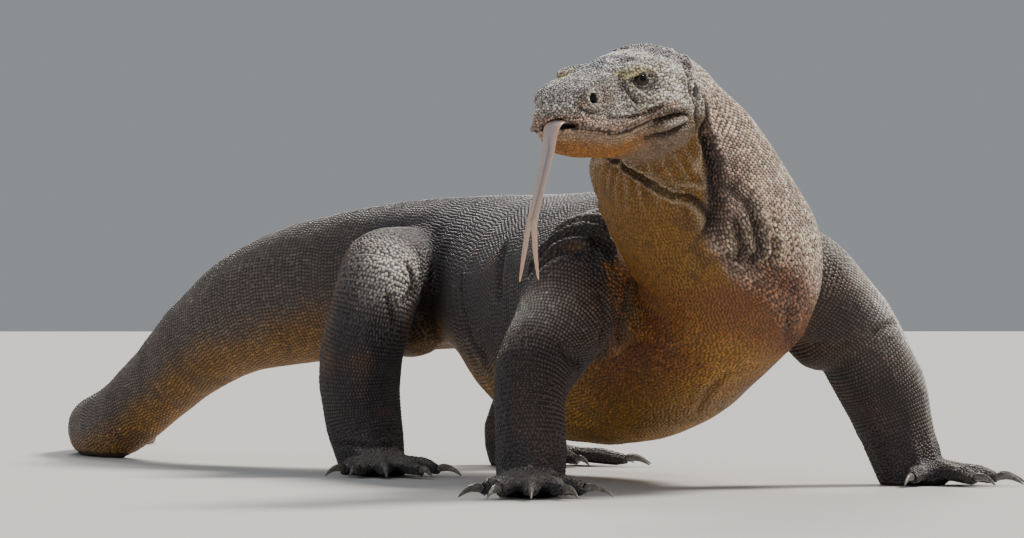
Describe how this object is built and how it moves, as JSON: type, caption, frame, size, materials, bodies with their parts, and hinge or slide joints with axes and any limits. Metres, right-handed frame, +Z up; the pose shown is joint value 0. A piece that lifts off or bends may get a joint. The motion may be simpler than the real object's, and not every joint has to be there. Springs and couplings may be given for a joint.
{
  "type": "komodo dragon figure",
  "caption": "Life-size komodo dragon figure, standing with its head turned to its right and its forked tongue out, built for display on a floor.",
  "frame": {"origin": "centre of the footprint of the whole figure's bounding box, on the floor", "axes": "+Y from the head towards the tail, +Z up, +X towards the animal's left"},
  "size_m": [0.7186, 2.3816, 0.4594],
  "materials": {
    "pale_hide": "light grey, beaded scales over dark skin, satin",
    "dark_hide": "dark grey-brown, rows of small scales with paler tops, satin",
    "ochre_hide": "rusty to ochre scale rows, matt",
    "claw": "horn, grey, satin",
    "eye": "dark brown, wet gloss",
    "tongue": "pale grey-pink, moist",
    "ear_drum": "thin dark membrane"
  },
  "bodies": {
    "root": {"abdomen": "ochre_hide", "chest": "ochre_hide", "claw_front_left_1": "claw", "claw_front_left_2": "claw", "claw_front_left_3": "claw", "claw_front_left_4": "claw", "claw_front_left_5": "claw", "claw_front_right_1": "claw", "claw_front_right_2": "claw", "claw_front_right_3": "claw", "claw_front_right_4": "claw", "claw_front_right_5": "claw", "claw_hind_left_1": "claw", "claw_hind_left_2": "claw", "claw_hind_left_3": "claw", "claw_hind_left_4": "claw", "claw_hind_left_5": "claw", "claw_hind_right_1": "claw", "claw_hind_right_2": "claw", "claw_hind_right_3": "claw", "claw_hind_right_4": "claw", "claw_hind_right_5": "claw", "ear_drum_left": "ear_drum", "ear_drum_right": "ear_drum", "eye_left": "eye", "eye_right": "eye", "foot_left": "dark_hide", "foot_right": "dark_hide", "forearm_left": "dark_hide", "forearm_right": "dark_hide", "hand_left": "dark_hide", "hand_right": "dark_hide", "head": "pale_hide", "lower_jaw": "ochre_hide", "neck": "pale_hide", "pelvis": "dark_hide", "shank_left": "dark_hide", "shank_right": "dark_hide", "tail_base": "dark_hide", "tail_middle": "dark_hide", "tail_rear": "dark_hide", "tail_tip": "dark_hide", "thigh_left": "dark_hide", "thigh_right": "dark_hide", "tongue": "tongue", "upper_arm_left": "dark_hide", "upper_arm_right": "dark_hide"}
  },
  "joints": []
}
